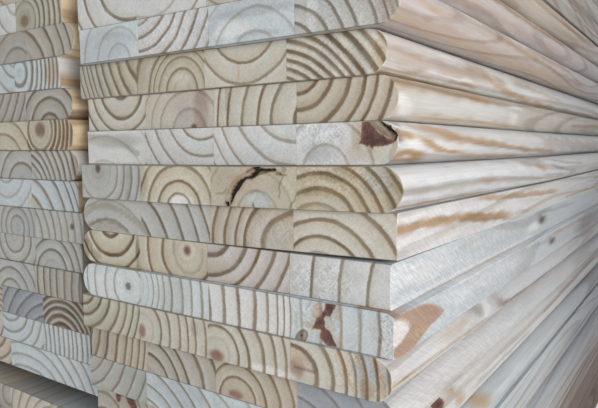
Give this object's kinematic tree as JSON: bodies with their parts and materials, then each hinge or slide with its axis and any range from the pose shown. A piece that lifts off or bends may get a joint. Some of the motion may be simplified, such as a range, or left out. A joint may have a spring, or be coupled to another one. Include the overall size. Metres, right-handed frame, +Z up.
{
  "type": "stack of laminated pine boards",
  "caption": "Stack of edge-glued pine shelf boards with one bullnose edge, laid flat in two columns side by side with their ends and edges slightly uneven.",
  "frame": {"origin": "middle of the stack's footprint, on the floor", "axes": "+Y along the boards, from the end that the picture shows to the far end; +X across the stack, from the left column to the right one; +Z up"},
  "size_m": [0.433, 1.241, 0.494],
  "materials": {
    "pine": "bare planed pine with sawn end grain, unfinished and slightly greyed"
  },
  "bodies": {
    "root": {"left_board_01": "pine", "left_board_02": "pine", "left_board_03": "pine", "left_board_04": "pine", "left_board_05": "pine", "left_board_06": "pine", "left_board_07": "pine", "left_board_08": "pine", "left_board_09": "pine", "left_board_10": "pine", "left_board_11": "pine", "left_board_12": "pine", "left_board_13": "pine", "left_board_14": "pine", "left_board_15": "pine", "left_board_16": "pine", "left_board_17": "pine", "left_board_18": "pine", "left_board_19": "pine", "left_board_20": "pine", "left_board_21": "pine", "left_board_22": "pine", "left_board_23": "pine", "left_board_24": "pine", "left_board_25": "pine", "right_board_01": "pine", "right_board_02": "pine", "right_board_03": "pine", "right_board_04": "pine", "right_board_05": "pine", "right_board_06": "pine", "right_board_07": "pine", "right_board_08": "pine", "right_board_09": "pine", "right_board_10": "pine", "right_board_11": "pine", "right_board_12": "pine", "right_board_13": "pine", "right_board_14": "pine", "right_board_15": "pine", "right_board_16": "pine", "right_board_17": "pine", "right_board_18": "pine", "right_board_19": "pine", "right_board_20": "pine", "right_board_21": "pine", "right_board_22": "pine", "right_board_23": "pine", "right_board_24": "pine", "right_board_25": "pine", "right_board_26": "pine"}
  },
  "joints": []
}
